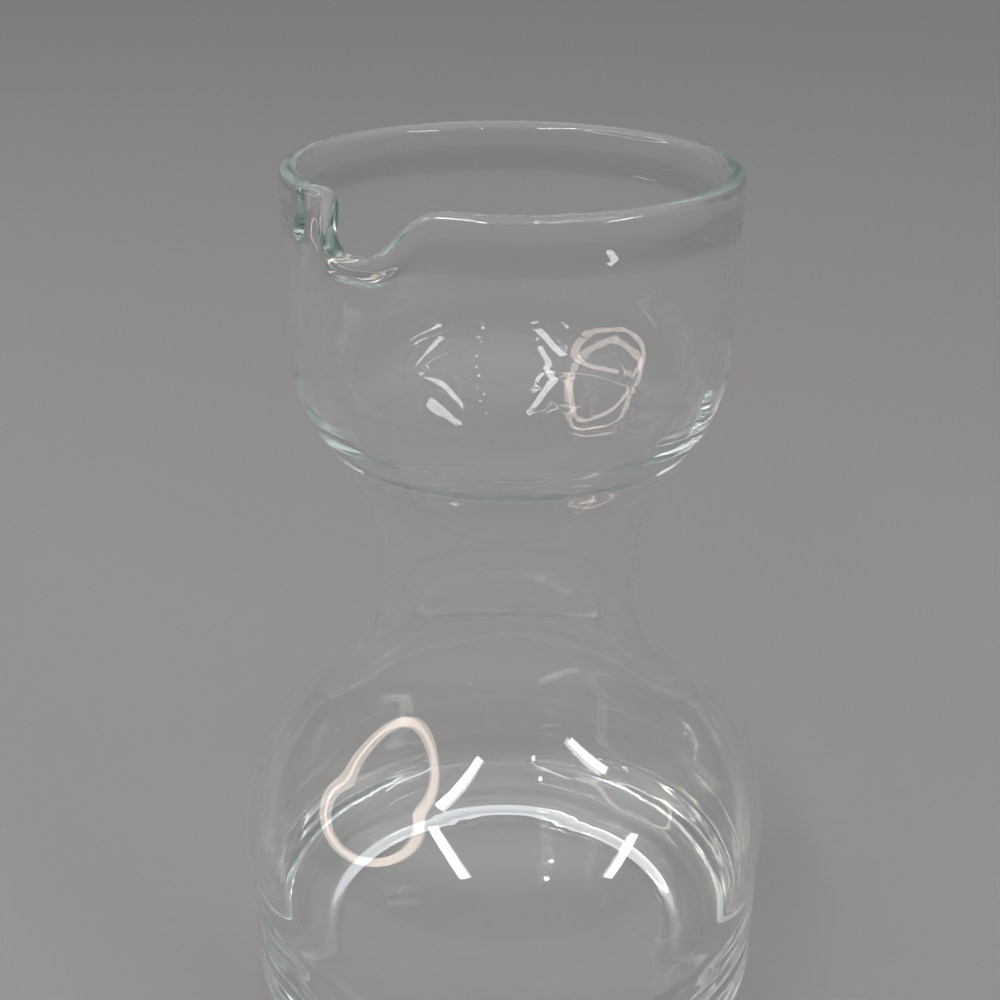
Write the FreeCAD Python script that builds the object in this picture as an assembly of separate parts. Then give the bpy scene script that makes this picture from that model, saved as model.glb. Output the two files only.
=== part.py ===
import FreeCAD, Part
import math
import os

# One-piece clear glass carafe: a wide pouring cup with a pinched lip, a waisted neck, a round
# body with pressed rings and a hollowed foot. Millimetres, +Z up, origin at the middle of the
# foot where it meets the table, lip towards +X.

# the whole
HEIGHT = 200.0
WALL = 2.9

# the cup at the top, its rim melted back into a thicker bead
CUP_RADIUS = 46.3
CUP_TAPER = 0.015
CUP_DEPTH = 38.7
CUP_CORNER_RADIUS = 29.7
CUP_FLOOR_RADIUS = 22.0
BEAD_STAND_OUT = 0.1
BEAD_THICKNESS = 4.2
BEAD_START = 12.0
BEAD_FULL = 5.0

# the neck between cup and body
NECK_RADIUS = 28.8
NECK_STRAIGHT = 6.0
WAIST_SHARE = 0.57
THROAT_STEP = 5.8
THROAT_ROUNDING = 2.0

# the body
BODY_RADIUS = 62.7
BELLY_HEIGHT = 40.0
SHOULDER_RADIUS = 39.2

# rounded rings round the lower body, and the valleys above, between and below them
VALLEY_HEIGHTS = (31.2, 20.0, 11.4)
VALLEY_DEPTH = 0.7
RING_BULGE = 0.5

# the foot
HEEL_RADIUS = 8.5
FOOT_WIDTH = 6.0
HOLLOW_SLOPE = 5.0
HOLLOW_DEPTH = 2.0
FLOOR_THICKNESS = 7.0
INNER_HEEL_RADIUS = 17.0

# the pinched pouring lip, worked into the mouth band above its root
LIP_LENGTH = 17.0
LIP_DIP = 9.3
LIP_REACH = 3.6
LIP_HALF_ANGLE = 12.0

# the flank of the lip pressed in hard, and the easy flank opposite
TIGHT_ANGLE = -17.0
TIGHT_HALF_ANGLE = 5.0
TIGHT_PINCH = 2.2
EASY_ANGLE = 22.0
EASY_HALF_ANGLE = 8.0
EASY_PINCH = 0.5

# how finely the mouth band is divided where the lip bends it, in degrees
LIP_SPAN = 36
LIP_STEP = 3

CENTRE = FreeCAD.Vector(0, 0, 0)
UP = FreeCAD.Vector(0, 0, 1)


def at(radius, height):
    """A point of the section, drawn in the half plane opposite the lip."""
    return FreeCAD.Vector(-radius, 0, height)


def line(start, end):
    """A straight edge of the section."""
    return Part.makeLine(at(*start), at(*end))


def arc(centre, radius, start, end):
    """An arc of the section, its angles in degrees from the outward direction."""
    points = []
    for turn in (start, (start + end) / 2, end):
        out = radius * math.cos(math.radians(turn))
        up = radius * math.sin(math.radians(turn))
        points.append(at(centre[0] + out, centre[1] + up))
    return Part.Arc(*points).toShape()


def degrees_up(first, second):
    """The angle of the way from one point of the section to another."""
    return math.degrees(math.atan2(second[1] - first[1], second[0] - first[0]))


def flare_radius(rise, step, corner):
    """The radius of an arc that leaves the neck upright and meets a corner arc smoothly,
    when the corner's centre lies `rise` along the axis and its side `step` further out."""
    return (rise * rise + step * step) / (2 * step) - corner


# outer skin, from the belly up: shoulder, lower flare, neck, upper flare, cup corner, cup wall
cup_corner_height = HEIGHT - CUP_DEPTH
lip_root = HEIGHT - LIP_LENGTH
corner_wall = CUP_RADIUS - CUP_TAPER * (lip_root - cup_corner_height)
shoulder_centre = (BODY_RADIUS - SHOULDER_RADIUS, BELLY_HEIGHT)
cup_centre = (corner_wall - CUP_CORNER_RADIUS, cup_corner_height)
waist = BELLY_HEIGHT + (cup_corner_height - BELLY_HEIGHT) * WAIST_SHARE
neck_bottom = waist - NECK_STRAIGHT / 2
neck_top = waist + NECK_STRAIGHT / 2
lower_flare = flare_radius(neck_bottom - BELLY_HEIGHT, BODY_RADIUS - NECK_RADIUS, SHOULDER_RADIUS)
upper_flare = flare_radius(cup_corner_height - neck_top, corner_wall - NECK_RADIUS, CUP_CORNER_RADIUS)
lower_flare_centre = (NECK_RADIUS + lower_flare, neck_bottom)
upper_flare_centre = (NECK_RADIUS + upper_flare, neck_top)
shoulder_turn = degrees_up(shoulder_centre, lower_flare_centre)
cup_turn = degrees_up(cup_centre, upper_flare_centre)

outer_edges = [
    arc(shoulder_centre, SHOULDER_RADIUS, 0, shoulder_turn),
    arc(lower_flare_centre, lower_flare, 180 + shoulder_turn, 180),
    line((NECK_RADIUS, neck_bottom), (NECK_RADIUS, neck_top)),
    arc(upper_flare_centre, upper_flare, 180, 180 + cup_turn),
    arc(cup_centre, CUP_CORNER_RADIUS, cup_turn, 0),
    line((corner_wall, cup_corner_height), (CUP_RADIUS, lip_root)),
]

# inner skin, from the mouth down: cup wall, cup floor, throat, neck, shoulder, body
inner_cup = CUP_RADIUS - WALL
inner_corner = corner_wall - WALL
inner_neck = NECK_RADIUS - WALL
inner_body = BODY_RADIUS - WALL
throat_radius = NECK_RADIUS + THROAT_STEP
floor_centre = (inner_corner - CUP_FLOOR_RADIUS, cup_corner_height)
throat_drop = math.sqrt(CUP_FLOOR_RADIUS ** 2 - (throat_radius - floor_centre[0]) ** 2)
throat_height = cup_corner_height - throat_drop
throat_turn = degrees_up(floor_centre, (throat_radius, throat_height))
inner_flare = flare_radius(throat_height - neck_top, throat_radius - inner_neck, 0)
inner_flare_centre = (inner_neck + inner_flare, neck_top)
inner_flare_turn = degrees_up(inner_flare_centre, (throat_radius, throat_height))

inner_edges = [
    line((inner_cup, lip_root), (inner_corner, cup_corner_height)),
    arc(floor_centre, CUP_FLOOR_RADIUS, 0, throat_turn),
    arc(inner_flare_centre, inner_flare, inner_flare_turn, 180),
    line((inner_neck, neck_top), (inner_neck, neck_bottom)),
    arc(lower_flare_centre, lower_flare + WALL, 180, 180 + shoulder_turn),
    arc(shoulder_centre, SHOULDER_RADIUS - WALL, shoulder_turn, 0),
    line((inner_body, BELLY_HEIGHT), (inner_body, FLOOR_THICKNESS + INNER_HEEL_RADIUS)),
    arc(
        (inner_body - INNER_HEEL_RADIUS, FLOOR_THICKNESS + INNER_HEEL_RADIUS),
        INNER_HEEL_RADIUS, 0, -90,
    ),
    line((inner_body - INNER_HEEL_RADIUS, FLOOR_THICKNESS), (0, FLOOR_THICKNESS)),
]


def ring(top, bottom):
    """A ring of the body's side between two valleys, its middle swollen outwards."""
    middle = ((top[0] + bottom[0]) / 2 + RING_BULGE, (top[1] + bottom[1]) / 2)
    return Part.Arc(at(*top), at(*middle), at(*bottom)).toShape()


# outer skin, from the belly down: the belly runs on to the first valley, then the rings, the
# heel from the last valley, the foot and its hollow
valley_radius = BODY_RADIUS - VALLEY_DEPTH
belly_turn = -math.degrees(math.asin((BELLY_HEIGHT - VALLEY_HEIGHTS[0]) / SHOULDER_RADIUS))
belly_end = shoulder_centre[0] + SHOULDER_RADIUS * math.cos(math.radians(belly_turn))
valleys = [(belly_end, VALLEY_HEIGHTS[0])]
valleys += [(valley_radius, height) for height in VALLEY_HEIGHTS[1:]]
heel_rise = VALLEY_HEIGHTS[-1] - HEEL_RADIUS
foot_radius = valley_radius - math.sqrt(HEEL_RADIUS ** 2 - heel_rise ** 2)
hollow_radius = foot_radius - FOOT_WIDTH
heel_turn = degrees_up((foot_radius, HEEL_RADIUS), valleys[-1])
lower_edges = [arc(shoulder_centre, SHOULDER_RADIUS, 0, belly_turn)]
lower_edges += [ring(top, bottom) for top, bottom in zip(valleys, valleys[1:])]
lower_edges += [
    arc((foot_radius, HEEL_RADIUS), HEEL_RADIUS, heel_turn, -90),
    line((foot_radius, 0), (hollow_radius, 0)),
    line((hollow_radius, 0), (hollow_radius - HOLLOW_SLOPE, HOLLOW_DEPTH)),
    line((hollow_radius - HOLLOW_SLOPE, HOLLOW_DEPTH), (0, HOLLOW_DEPTH)),
]


def turned(edge):
    """The face an edge sweeps in one full turn round the axis."""
    return edge.revolve(CENTRE, UP, 360).Faces[0]


def smooth(share):
    """A smooth step from nought to one as the share goes from nought to one."""
    share = min(max(share, 0.0), 1.0)
    return share * share * (3 - 2 * share)


# mouth band: outer wall, round bead of the rim and inner wall as one curve
rim_rounding = BEAD_THICKNESS / 2
rim_height = HEIGHT - rim_rounding
bead_radius = CUP_RADIUS + BEAD_STAND_OUT
bead_inside = bead_radius - BEAD_THICKNESS
outer_points = []
inner_points = []
for quarter in range(4):
    height = lip_root + (rim_height - lip_root) * quarter / 4
    bead = smooth((height - HEIGHT + BEAD_START) / (BEAD_START - BEAD_FULL))
    outer_points.append(at(CUP_RADIUS + BEAD_STAND_OUT * bead, height))
    inner_points.append(at(inner_cup + (bead_inside - inner_cup) * bead, height))
rim_points = []
for turn in range(0, 181, 30):
    out = bead_radius - rim_rounding + rim_rounding * math.cos(math.radians(turn))
    rim_points.append(at(out, rim_height + rim_rounding * math.sin(math.radians(turn))))
band = Part.BSplineCurve()
band.interpolate(
    Points=outer_points + rim_points + inner_points[::-1],
    InitialTangent=at(CUP_RADIUS, lip_root) - at(corner_wall, cup_corner_height),
    FinalTangent=at(inner_corner, cup_corner_height) - at(inner_cup, lip_root),
)


def swell(angle, half_angle, steepness):
    """A smooth bump of height one about angle zero."""
    return math.exp(-abs(angle / half_angle) ** steepness)


def pinched(point):
    """Where the lip's forming takes a point of the mouth band: out and down in the trough,
    in at the tight flank, a little in at the easy flank, and nowhere at the root."""
    share = (point.z - lip_root) / LIP_LENGTH
    grip = smooth(share / 0.55)
    angle = math.degrees(math.atan2(point.y, point.x))
    trough = swell(angle, LIP_HALF_ANGLE, 3) * grip
    tight = swell(angle - TIGHT_ANGLE, TIGHT_HALF_ANGLE, 2) * grip
    easy = swell(angle - EASY_ANGLE, EASY_HALF_ANGLE, 2) * grip
    out = math.hypot(point.x, point.y)
    scale = 1 + (LIP_REACH * trough - TIGHT_PINCH * tight - EASY_PINCH * easy) / out
    fall = LIP_DIP * trough * share
    return FreeCAD.Vector(point.x * scale, point.y * scale, point.z - fall)


# the band's surface gets extra rows of poles round the lip, and the pinch moves the poles
mouth = turned(band.toShape()).toNurbs().Faces[0].Surface
mouth.increaseDegree(3, mouth.VDegree)
for turn in range(-LIP_SPAN, LIP_SPAN + 1, LIP_STEP):
    mouth.insertUKnot(math.pi + math.radians(turn), 1, 1e-9)
for row in range(1, mouth.NbUPoles + 1):
    for column in range(1, mouth.NbVPoles + 1):
        mouth.setPole(row, column, pinched(mouth.getPole(row, column)))

faces = [turned(edge) for edge in outer_edges + inner_edges + lower_edges]
skin = Part.Compound(faces + [mouth.toShape()])
skin.sewShape()
glass = Part.Solid(skin)
throat_edges = [
    edge for edge in glass.Edges
    if abs(edge.BoundBox.ZMax - throat_height) < 1e-4 and abs(edge.BoundBox.ZLength) < 1e-3
]
glass = glass.makeFillet(THROAT_ROUNDING, throat_edges).Solids[0]

print("carafe", glass.ShapeType, glass.isValid(), round(glass.Volume))
os.makedirs("parts", exist_ok=True)
glass.exportStep("parts/carafe.step")
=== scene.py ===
import math

import bpy
import numpy as np
from mathutils import Matrix, Vector


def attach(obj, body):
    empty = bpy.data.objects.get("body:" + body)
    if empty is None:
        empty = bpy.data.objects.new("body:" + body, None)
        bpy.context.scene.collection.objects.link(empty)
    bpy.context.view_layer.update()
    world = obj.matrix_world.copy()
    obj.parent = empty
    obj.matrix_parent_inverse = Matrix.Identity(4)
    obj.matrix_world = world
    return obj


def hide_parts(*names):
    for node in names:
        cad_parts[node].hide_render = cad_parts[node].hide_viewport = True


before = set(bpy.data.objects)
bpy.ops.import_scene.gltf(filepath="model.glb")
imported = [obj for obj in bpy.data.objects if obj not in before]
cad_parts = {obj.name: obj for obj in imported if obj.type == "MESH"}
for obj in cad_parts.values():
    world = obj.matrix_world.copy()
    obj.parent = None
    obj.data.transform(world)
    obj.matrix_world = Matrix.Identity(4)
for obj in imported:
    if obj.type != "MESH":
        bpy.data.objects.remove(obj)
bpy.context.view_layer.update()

# The carafe is one piece of clear soda-lime glass, blown in a mould: a pouring cup, a waisted neck
# and a round body over rounded rings. Its rim is melted back into a bead in a flame, and while that
# is soft the lip is pulled out and down. Thick glass has a faint grey-green tint.
MM = 0.001
HEIGHT = 200.0 * MM
WALL = 2.9 * MM
CUP_RADIUS = 46.3 * MM
CUP_TAPER = 0.015
CUP_DEPTH = 38.7 * MM
CUP_CORNER_RADIUS = 29.7 * MM
CUP_FLOOR_RADIUS = 22.0 * MM
BEAD_STAND_OUT = 0.1 * MM
BEAD_THICKNESS = 4.2 * MM
BEAD_START = 12.0 * MM
BEAD_FULL = 5.0 * MM
NECK_RADIUS = 28.8 * MM
NECK_STRAIGHT = 6.0 * MM
WAIST_SHARE = 0.57
THROAT_STEP = 5.8 * MM
BODY_RADIUS = 62.7 * MM
BELLY_HEIGHT = 40.0 * MM
SHOULDER_RADIUS = 39.2 * MM
VALLEY_HEIGHTS = (31.2 * MM, 20.0 * MM, 11.4 * MM)
VALLEY_DEPTH = 0.7 * MM
RING_BULGE = 0.5 * MM
HEEL_RADIUS = 8.5 * MM
FOOT_WIDTH = 6.0 * MM
HOLLOW_SLOPE = 5.0 * MM
HOLLOW_DEPTH = 2.0 * MM
FLOOR_THICKNESS = 7.0 * MM
INNER_HEEL_RADIUS = 17.0 * MM
LIP_LENGTH = 17.0 * MM
LIP_DIP = 9.3 * MM
LIP_REACH = 3.6 * MM
LIP_HALF_ANGLE = 12.0
TIGHT_ANGLE = -17.0
TIGHT_HALF_ANGLE = 5.0
TIGHT_PINCH = 2.2 * MM
EASY_ANGLE = 22.0
EASY_HALF_ANGLE = 8.0
EASY_PINCH = 0.5 * MM
SPACING = 0.3 * MM
PRESSED_BLUR = 1.5 * MM
MELTED_BLUR = 0.5 * MM


def arc(centre, radius, start, end):
    """Points of the section on a circle: the centre plus the radius times the cosine and sine of
    angles that run evenly from start to end, in degrees."""
    count = max(4, int(abs(math.radians(end - start)) * radius / SPACING))
    turns = np.radians(np.linspace(start, end, count))
    return np.stack([centre[0] + radius * np.cos(turns), centre[1] + radius * np.sin(turns)], axis=1)


def line(start, end):
    """Points of the section evenly along a straight line: the start plus a share of the way."""
    share = np.linspace(0, 1, max(3, int(math.dist(start, end) / SPACING)))[:, None]
    return np.array(start) * (1 - share) + np.array(end) * share


def ring(bottom, top):
    """Points up a ring of the body's side: the straight way between two valleys, plus a parabola
    outwards that reaches the ring's bulge half way."""
    points = line(bottom, top)
    share = np.linspace(0, 1, len(points))
    points[:, 0] += RING_BULGE * 4 * share * (1 - share)
    return points


def degrees_up(first, second):
    """The angle in degrees of the way from one point of the section to another, 0 to 360."""
    return math.degrees(math.atan2(second[1] - first[1], second[0] - first[0])) % 360


def flare_radius(rise, step, corner):
    """Radius of the arc that leaves the neck upright and meets a corner arc smoothly: the squares
    of rise and step over twice the step, less the corner's own radius."""
    return (rise * rise + step * step) / (2 * step) - corner


def smooth(share):
    """A smooth step: three times the square less twice the cube of the share, held from 0 to 1."""
    share = np.clip(share, 0, 1)
    return share * share * (3 - 2 * share)


# heights and centres that the outer and the inner skin share
cup_corner = HEIGHT - CUP_DEPTH
lip_root = HEIGHT - LIP_LENGTH
corner_wall = CUP_RADIUS - CUP_TAPER * (lip_root - cup_corner)
shoulder_centre = (BODY_RADIUS - SHOULDER_RADIUS, BELLY_HEIGHT)
cup_centre = (corner_wall - CUP_CORNER_RADIUS, cup_corner)
waist = BELLY_HEIGHT + (cup_corner - BELLY_HEIGHT) * WAIST_SHARE
neck_bottom = waist - NECK_STRAIGHT / 2
neck_top = waist + NECK_STRAIGHT / 2
lower_flare = flare_radius(neck_bottom - BELLY_HEIGHT, BODY_RADIUS - NECK_RADIUS, SHOULDER_RADIUS)
upper_flare = flare_radius(cup_corner - neck_top, corner_wall - NECK_RADIUS, CUP_CORNER_RADIUS)
lower_centre = (NECK_RADIUS + lower_flare, neck_bottom)
upper_centre = (NECK_RADIUS + upper_flare, neck_top)
shoulder_turn = degrees_up(shoulder_centre, lower_centre)
cup_turn = degrees_up(cup_centre, upper_centre) - 360

# outer skin, from the middle of the base up to the mouth
valley_radius = BODY_RADIUS - VALLEY_DEPTH
belly_turn = -math.degrees(math.asin((BELLY_HEIGHT - VALLEY_HEIGHTS[0]) / SHOULDER_RADIUS))
belly_end = shoulder_centre[0] + SHOULDER_RADIUS * math.cos(math.radians(belly_turn))
valleys = [(belly_end, VALLEY_HEIGHTS[0])] + [(valley_radius, height) for height in VALLEY_HEIGHTS[1:]]
heel_rise = VALLEY_HEIGHTS[-1] - HEEL_RADIUS
foot_radius = valley_radius - math.sqrt(HEEL_RADIUS ** 2 - heel_rise ** 2)
heel_centre = (foot_radius, HEEL_RADIUS)
hollow = foot_radius - FOOT_WIDTH
outside = [
    line((0, HOLLOW_DEPTH), (hollow - HOLLOW_SLOPE, HOLLOW_DEPTH)),
    line((hollow - HOLLOW_SLOPE, HOLLOW_DEPTH), (hollow, 0)),
    line((hollow, 0), (foot_radius, 0)),
    arc(heel_centre, HEEL_RADIUS, -90, degrees_up(heel_centre, valleys[-1])),
    ring(valleys[2], valleys[1]),
    ring(valleys[1], valleys[0]),
    arc(shoulder_centre, SHOULDER_RADIUS, belly_turn, shoulder_turn),
    arc(lower_centre, lower_flare, 180 + shoulder_turn, 180),
    line((NECK_RADIUS, neck_bottom), (NECK_RADIUS, neck_top)),
    arc(upper_centre, upper_flare, 180, 180 + cup_turn),
    arc(cup_centre, CUP_CORNER_RADIUS, cup_turn, 0),
    line((corner_wall, cup_corner), (CUP_RADIUS, lip_root)),
]

# mouth: the wall thickens into the round bead of the rim
MOUTH_STEPS = 48
inner_cup = CUP_RADIUS - WALL
bead_radius = CUP_RADIUS + BEAD_STAND_OUT
rim_height = HEIGHT - BEAD_THICKNESS / 2
heights = np.linspace(lip_root, rim_height, MOUTH_STEPS)
bead = smooth((heights - HEIGHT + BEAD_START) / (BEAD_START - BEAD_FULL))
rising = np.stack([CUP_RADIUS + BEAD_STAND_OUT * bead, heights], axis=1)
rim = arc((bead_radius - BEAD_THICKNESS / 2, rim_height), BEAD_THICKNESS / 2, 0, 180)
falling = np.stack([inner_cup + (bead_radius - BEAD_THICKNESS - inner_cup) * bead, heights], axis=1)

# inner skin, from the mouth down to the middle of the floor
inner_corner = corner_wall - WALL
inner_neck = NECK_RADIUS - WALL
inner_body = BODY_RADIUS - WALL
throat_radius = NECK_RADIUS + THROAT_STEP
floor_centre = (inner_corner - CUP_FLOOR_RADIUS, cup_corner)
throat_drop = math.sqrt(CUP_FLOOR_RADIUS ** 2 - (throat_radius - floor_centre[0]) ** 2)
throat = (throat_radius, cup_corner - throat_drop)
inner_flare = flare_radius(throat[1] - neck_top, throat_radius - inner_neck, 0)
inner_centre = (inner_neck + inner_flare, neck_top)
inner_heel = (inner_body - INNER_HEEL_RADIUS, FLOOR_THICKNESS + INNER_HEEL_RADIUS)
inside = [
    line((inner_cup, lip_root), (inner_corner, cup_corner)),
    arc(floor_centre, CUP_FLOOR_RADIUS, 0, degrees_up(floor_centre, throat) - 360),
    arc(inner_centre, inner_flare, degrees_up(inner_centre, throat), 180),
    line((inner_neck, neck_top), (inner_neck, neck_bottom)),
    arc(lower_centre, lower_flare + WALL, 180, 180 + shoulder_turn),
    arc(shoulder_centre, SHOULDER_RADIUS - WALL, shoulder_turn, 0),
    line((inner_body, BELLY_HEIGHT), (inner_body, inner_heel[1])),
    arc(inner_heel, INNER_HEEL_RADIUS, 0, -90),
    line((inner_heel[0], FLOOR_THICKNESS), (0, FLOOR_THICKNESS)),
]


SAME_PLACE = 0.0001 * MM
BELL_REACH = 12
STRAIGHT_WEIGHT = 0.014
SECTION_POINTS = 385


def melted(points, blur):
    """The section with its corners softened: points an even way apart, each then the mean of its
    neighbours, weighted by e to minus half the square of their distance over the blur."""
    steps = np.linalg.norm(np.diff(points, axis=0), axis=1)
    points = points[np.concatenate([[True], steps > SAME_PLACE])]
    way = np.concatenate([[0], np.cumsum(np.linalg.norm(np.diff(points, axis=0), axis=1))])
    even = np.linspace(0, way[-1], int(way[-1] / SPACING))
    section = np.stack([np.interp(even, way, points[:, side]) for side in (0, 1)], axis=1)
    bell = np.exp(-0.5 * (np.arange(-BELL_REACH, BELL_REACH + 1) * SPACING / blur) ** 2)
    bell /= bell.sum()
    padded = np.pad(section, ((BELL_REACH, BELL_REACH), (0, 0)), mode="reflect", reflect_type="odd")
    return np.stack([np.convolve(padded[:, side], bell, mode="valid") for side in (0, 1)], axis=1)


def thinned(points, count):
    """The section at fewer points, closer together where it bends: they are spaced evenly in the
    running sum of a constant and the change of direction."""
    way = np.diff(points, axis=0)
    way /= np.linalg.norm(way, axis=1)[:, None]
    bend = np.concatenate([[0], np.linalg.norm(np.diff(way, axis=0), axis=1), [0]])
    weight = np.cumsum(STRAIGHT_WEIGHT + bend)
    wanted = np.linspace(weight[0], weight[-1], count)
    return np.stack([np.interp(wanted, weight, points[:, side]) for side in (0, 1)], axis=1)


# the base, the rings and the shoulder have softer corners than the rest
pressed = melted(np.concatenate(outside[:7]), PRESSED_BLUR)
mouth = [rising, rim, falling[::-1]]
section = melted(np.concatenate([pressed] + outside[7:] + mouth + inside), MELTED_BLUR)
section = thinned(section, SECTION_POINTS)
section[0, 0] = section[-1, 0] = 0
top = section[:, 1].argmax()
inner_side = (np.arange(len(section)) > top)[None, 1:-1]


GRIP_SHARE = 0.55
CUP_UNEVEN = (145.0 * MM, 160.0 * MM)
MOUTH_UNEVEN = (168.0 * MM, 182.0 * MM)
HEEL_UNEVEN = (12.0 * MM, 28.0 * MM)
SLOW_DEPTH = 0.03 * MM
QUICK_DEPTH = 0.07 * MM
STREAK_DEPTH = 0.03 * MM
HEEL_DEPTH = 0.2 * MM


def swell(angle, half_angle, steepness):
    """A bump of height one at angle zero: e to minus the angle over the half angle, to a power."""
    return np.exp(-np.abs(angle / half_angle) ** steepness)


def pinched(radius, height, angle):
    """Radius and height once the lip is formed. In the trough the glass goes out and down, at the
    tight flank in, and at the easy flank a little in. It all fades smoothly to the lip's root."""
    share = (height - lip_root) / LIP_LENGTH
    grip = smooth(share / GRIP_SHARE)
    trough = swell(angle, LIP_HALF_ANGLE, 3) * grip
    tight = swell(angle - TIGHT_ANGLE, TIGHT_HALF_ANGLE, 2) * grip
    easy = swell(angle - EASY_ANGLE, EASY_HALF_ANGLE, 2) * grip
    radius = radius + LIP_REACH * trough - TIGHT_PINCH * tight - EASY_PINCH * easy
    return radius, height - LIP_DIP * trough * share


def between(height, limits):
    """How far a height has come from the first limit to the second, as a smooth step."""
    return smooth((height - limits[0]) / (limits[1] - limits[0]))


def uneven(angle, height):
    """How far the blown inner skin wanders: sines that run round the glass and climb it at
    different rates. Slow ones are everywhere, quick ones in the cup only, which turn into upright
    streaks near the mouth, and ripples over the heel are the deepest."""
    turn = np.radians(angle)
    rise = height / MM
    slow = np.sin(5 * turn + 0.09 * rise + 0.4) + 0.8 * np.sin(8 * turn - 0.14 * rise + 2.1)
    quick = np.sin(13 * turn + 0.33 * rise) * np.sin(0.17 * rise - 5 * turn + 1.0)
    quick += np.sin(19 * turn - 0.27 * rise + 2.0) * np.sin(7 * turn + 0.11 * rise)
    streaks = np.sin(31 * turn + 0.05 * rise) * np.sin(7 * turn + 1.0)
    ripples = np.sin(11 * turn + 0.5 * rise) * np.sin(0.6 * rise - 4 * turn) + 0.6 * np.sin(19 * turn + 1.7)
    cup = between(height, CUP_UNEVEN)
    near_mouth = between(height, MOUTH_UNEVEN)
    heel = 1 - between(height, HEEL_UNEVEN)
    across = SLOW_DEPTH * slow + QUICK_DEPTH * cup * (1 - near_mouth) * quick
    return across + STREAK_DEPTH * near_mouth * streaks + HEEL_DEPTH * heel * ripples


# turns round the axis, a degree apart at the lip and wider elsewhere; the unevenness fades
# towards the middle of the floor
LIP_SPAN = 36
WIDE_TURNS = 170
FADE_RADIUS = 30.0 * MM
fine_turns = np.arange(-LIP_SPAN, LIP_SPAN, 1.0)
wide_turns = np.linspace(LIP_SPAN, 360 - LIP_SPAN, WIDE_TURNS + 1)[:-1]
angles = np.concatenate([fine_turns, wide_turns])
bent = np.where(angles > 180, angles - 360, angles)[:, None]
radius, height = pinched(section[None, 1:-1, 0], section[None, 1:-1, 1], bent)
radius = radius - inner_side * smooth(radius / FADE_RADIUS) * uneven(angles[:, None], height)
turn = np.radians(angles)[:, None]
grid = np.stack([radius * np.cos(turn), radius * np.sin(turn), height], axis=2)
rows, columns = grid.shape[:2]
poles = [[0, 0, section[0, 1]], [0, 0, section[-1, 1]]]
points = np.concatenate([grid.reshape(-1, 3), poles])
row, column = np.meshgrid(np.arange(rows), np.arange(columns - 1), indexing="ij")
following = (row + 1) % rows
quads = np.stack([
    row * columns + column, following * columns + column,
    following * columns + column + 1, row * columns + column + 1,
], axis=2).reshape(-1, 4)
turns = np.arange(rows)
after = (turns + 1) % rows
base_pole = np.full(rows, rows * columns)
base_fan = np.stack([base_pole, after * columns, turns * columns], axis=1)
floor_fan = np.stack([base_pole + 1, turns * columns + columns - 1, after * columns + columns - 1], axis=1)
mesh = bpy.data.meshes.new("carafe_glass")
mesh.from_pydata(points.tolist(), [], quads.tolist() + base_fan.tolist() + floor_fan.tolist())
mesh.shade_smooth()
carafe = bpy.data.objects.new("carafe_glass", mesh)
bpy.context.collection.objects.link(carafe)

# Clear glass that takes a little colour from the light on its way through. Shadow rays, which
# look for a lamp, go straight on and keep the SHADOW_PASS share of their light at each surface, so
# that the shadow stays pale. The light that the glass bends comes on top of that.
GLASS_IOR = 1.52
TINT = (0.50, 0.74, 0.69, 1)
TINT_DENSITY = 3.0
SHADOW_PASS = (0.70, 0.71, 0.705, 1)
glass = bpy.data.materials.new("clear_glass")
glass.use_nodes = True
nodes = glass.node_tree.nodes
links = glass.node_tree.links
shader = nodes["Principled BSDF"]
shader.inputs["Base Color"].default_value = (1.0, 1.0, 1.0, 1)
shader.inputs["Roughness"].default_value = 0.0
shader.inputs["IOR"].default_value = GLASS_IOR
shader.inputs["Transmission Weight"].default_value = 1.0
tint = nodes.new("ShaderNodeVolumeAbsorption")
tint.inputs["Color"].default_value = TINT
tint.inputs["Density"].default_value = TINT_DENSITY
links.new(tint.outputs["Volume"], nodes["Material Output"].inputs["Volume"])
passing = nodes.new("ShaderNodeBsdfTransparent")
passing.inputs["Color"].default_value = SHADOW_PASS
rays = nodes.new("ShaderNodeLightPath")
surface = nodes.new("ShaderNodeMixShader")
links.new(rays.outputs["Is Shadow Ray"], surface.inputs["Fac"])
links.new(shader.outputs["BSDF"], surface.inputs[1])
links.new(passing.outputs["BSDF"], surface.inputs[2])
links.new(surface.outputs["Shader"], nodes["Material Output"].inputs["Surface"])
mesh.materials.append(glass)
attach(carafe, "root")
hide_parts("carafe")

# The camera looks down at the carafe from in front of it and to one side of the lip, which is on
# the left of the view.
FACING = 36.3
CAMERA_WAY = 281.2 * MM
CAMERA_HEIGHT = 257.6 * MM
PITCH = 25.22
ROLL = 0.69
SENSOR_WIDTH = 36
FOCAL_LENGTH = 50.4
SIDE_SHIFT = -0.0088


def towards(azimuth, elevation):
    """The direction at an azimuth round the axis from the lip and an elevation, in degrees: the
    cosines and sines of the two."""
    level = math.cos(math.radians(elevation))
    turn = math.radians(azimuth)
    return Vector((level * math.cos(turn), level * math.sin(turn), math.sin(math.radians(elevation))))


camera_data = bpy.data.cameras.new("camera")
camera_data.sensor_width = SENSOR_WIDTH
camera_data.lens = FOCAL_LENGTH
camera_data.shift_x = SIDE_SHIFT
camera = bpy.data.objects.new("camera", camera_data)
bpy.context.collection.objects.link(camera)
back = towards(FACING, PITCH)
right = towards(FACING + 90, 0)
pose = Matrix((right, back.cross(right), back)).transposed().to_4x4()
stand = towards(FACING, 0) * CAMERA_WAY + Vector((0, 0, CAMERA_HEIGHT))
camera.matrix_world = Matrix.Translation(stand) @ pose @ Matrix.Rotation(math.radians(ROLL), 4, "Z")
bpy.context.scene.camera = camera

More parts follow.
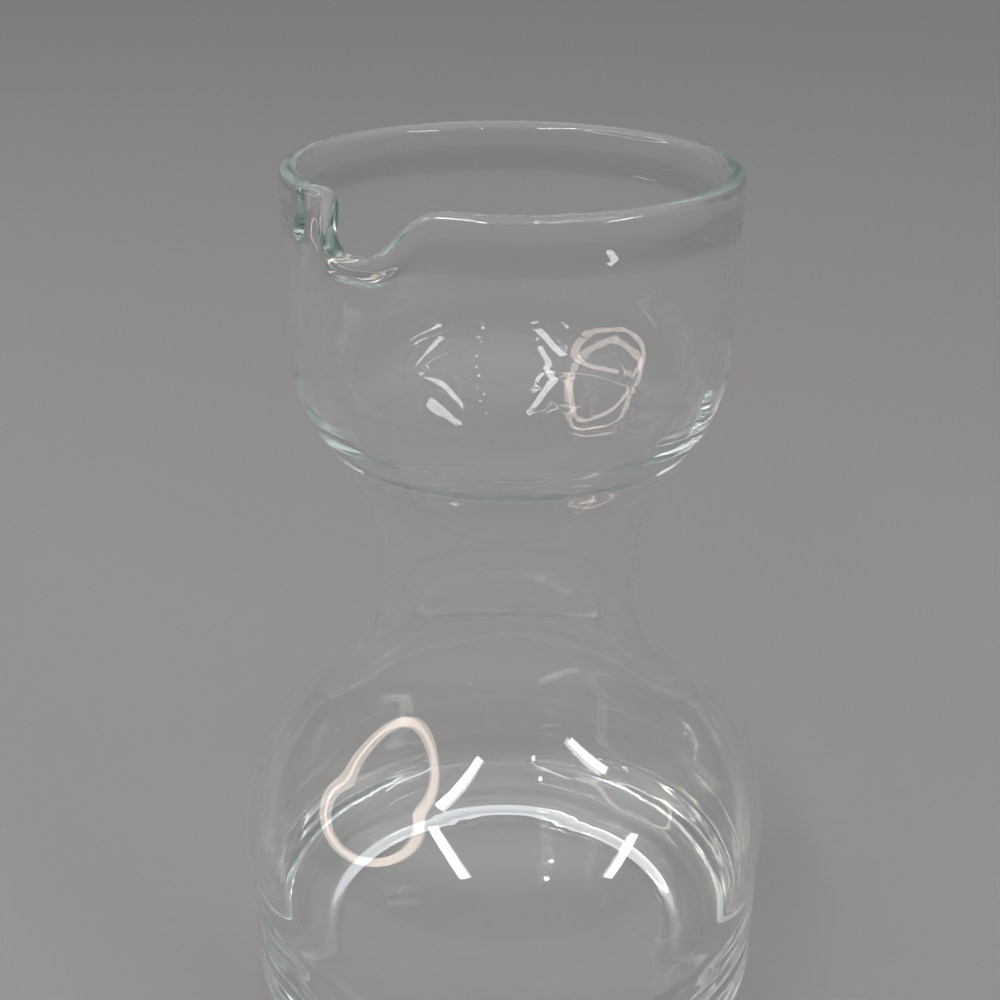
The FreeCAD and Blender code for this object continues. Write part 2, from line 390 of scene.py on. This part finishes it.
# The table is a plain matt grey sheet, much wider than the view.
TABLE_WIDTH = 8.0
TABLE_GREY = (0.27, 0.27, 0.267, 1)
TABLE_ROUGHNESS = 0.8
bpy.ops.mesh.primitive_plane_add(size=TABLE_WIDTH, location=(0, 0, 0))
table = bpy.context.object
table.name = "table"
grey = bpy.data.materials.new("grey_table")
grey.use_nodes = True
grey.node_tree.nodes["Principled BSDF"].inputs["Base Color"].default_value = TABLE_GREY
grey.node_tree.nodes["Principled BSDF"].inputs["Roughness"].default_value = TABLE_ROUGHNESS
table.data.materials.append(grey)

# Lamps: two long flat panels and two small spots in front of the carafe and above it, and a warm
# ring to the left. All face the middle of the carafe from about LAMP_WAY off.
LAMP_WAY = 1.6
AIM = Vector((0, 0, HEIGHT / 2))
PANEL_WIDTH = 0.11
PANEL_RADIANCE = 20
PANEL_COLOUR = (0.96, 0.98, 1.0)
SPOT_WIDTH = 0.05
SPOT_RADIANCE = 40
SPOT_COLOUR = (1.0, 1.0, 1.0)


def panel(name, first, second, width, radiance, colour):
    """A flat lamp that faces the carafe and runs between two directions, each an azimuth and an
    elevation: its power is pi times its area times its radiance."""
    start = towards(*first) * LAMP_WAY
    end = towards(*second) * LAMP_WAY
    along = (end - start).normalized()
    outward = (start + end).normalized()
    across = outward.cross(along).normalized()
    outward = along.cross(across)
    data = bpy.data.lights.new(name, "AREA")
    data.shape = "RECTANGLE"
    data.size = (end - start).length
    data.size_y = width
    data.energy = math.pi * data.size * width * radiance
    data.color = colour
    lamp = bpy.data.objects.new(name, data)
    bpy.context.collection.objects.link(lamp)
    place = Matrix((along, across, outward)).transposed().to_4x4()
    lamp.matrix_world = Matrix.Translation(AIM + (start + end) / 2) @ place


panel("panel_left", (18, 33), (-14, 56), PANEL_WIDTH, PANEL_RADIANCE, PANEL_COLOUR)
panel("panel_right", (82, 23), (106, 36), PANEL_WIDTH, PANEL_RADIANCE, PANEL_COLOUR)
panel("spot_low", (55, 33), (57, 33), SPOT_WIDTH, SPOT_RADIANCE, SPOT_COLOUR)
panel("spot_high", (60, 43), (62, 43), SPOT_WIDTH, SPOT_RADIANCE, SPOT_COLOUR)

# warm ring, a flat band round a circle: the camera doesn't see it, the glass and the table do
RING_INNER_RADIUS = 0.57
RING_OUTER_RADIUS = 0.71
RING_STEPS = 96
RING_COLOUR = (1.0, 0.83, 0.73, 1)
RING_STRENGTH = 6.5
around = np.linspace(0, 2 * math.pi, RING_STEPS + 1)[:-1]
ring_out = towards(-41, 36)
ring_side = ring_out.cross(Vector((0, 0, 1))).normalized()
ring_up = ring_side.cross(ring_out)
circle = np.outer(np.cos(around), ring_side) + np.outer(np.sin(around), ring_up)
ring_centre = np.array(AIM + ring_out * LAMP_WAY)
band = np.concatenate([ring_centre + circle * RING_INNER_RADIUS, ring_centre + circle * RING_OUTER_RADIUS])
first = np.arange(RING_STEPS)
second = (first + 1) % RING_STEPS
ring_mesh = bpy.data.meshes.new("ring_lamp")
ring_faces = np.stack([first, second, second + RING_STEPS, first + RING_STEPS], axis=1)
ring_mesh.from_pydata(band.tolist(), [], ring_faces.tolist())
ring_lamp = bpy.data.objects.new("ring_lamp", ring_mesh)
bpy.context.collection.objects.link(ring_lamp)
warm = bpy.data.materials.new("warm_ring")
warm.use_nodes = True
glow = warm.node_tree.nodes.new("ShaderNodeEmission")
glow.inputs["Color"].default_value = RING_COLOUR
glow.inputs["Strength"].default_value = RING_STRENGTH
warm.node_tree.links.new(glow.outputs[0], warm.node_tree.nodes["Material Output"].inputs["Surface"])
ring_mesh.materials.append(warm)
ring_lamp.visible_camera = False

# The room round it: grey walls, then a pale ceiling. One turns smoothly into the other between two
# values of how far a direction points up, which is 0 for a level one and 1 for straight up.
WALL_GREY = (0.2, 0.2, 0.2, 1)
CEILING = (0.8, 0.81, 0.83, 1)
CEILING_START = 0.3
CEILING_FULL = 0.8
world = bpy.data.worlds.new("room")
bpy.context.scene.world = world
world.use_nodes = True
room = world.node_tree.nodes
wires = world.node_tree.links
direction = room.new("ShaderNodeTexCoord")
split = room.new("ShaderNodeSeparateXYZ")
climb = room.new("ShaderNodeMapRange")
climb.interpolation_type = "SMOOTHSTEP"
climb.inputs["From Min"].default_value = CEILING_START
climb.inputs["From Max"].default_value = CEILING_FULL
mix = room.new("ShaderNodeMix")
mix.data_type = "RGBA"
mix.inputs["A"].default_value = WALL_GREY
mix.inputs["B"].default_value = CEILING
wires.new(direction.outputs["Generated"], split.inputs[0])
wires.new(split.outputs["Z"], climb.inputs["Value"])
wires.new(climb.outputs["Result"], mix.inputs["Factor"])
wires.new(mix.outputs["Result"], room["Background"].inputs["Color"])

bpy.context.scene.view_settings.view_transform = "Standard"

# Light that enters at the edge of a wall is turned back many times before it comes out, and a
# path that is cut short shows as a black band.
BOUNCES = 200
bpy.context.scene.cycles.max_bounces = BOUNCES
bpy.context.scene.cycles.transmission_bounces = BOUNCES
bpy.context.scene.cycles.glossy_bounces = BOUNCES
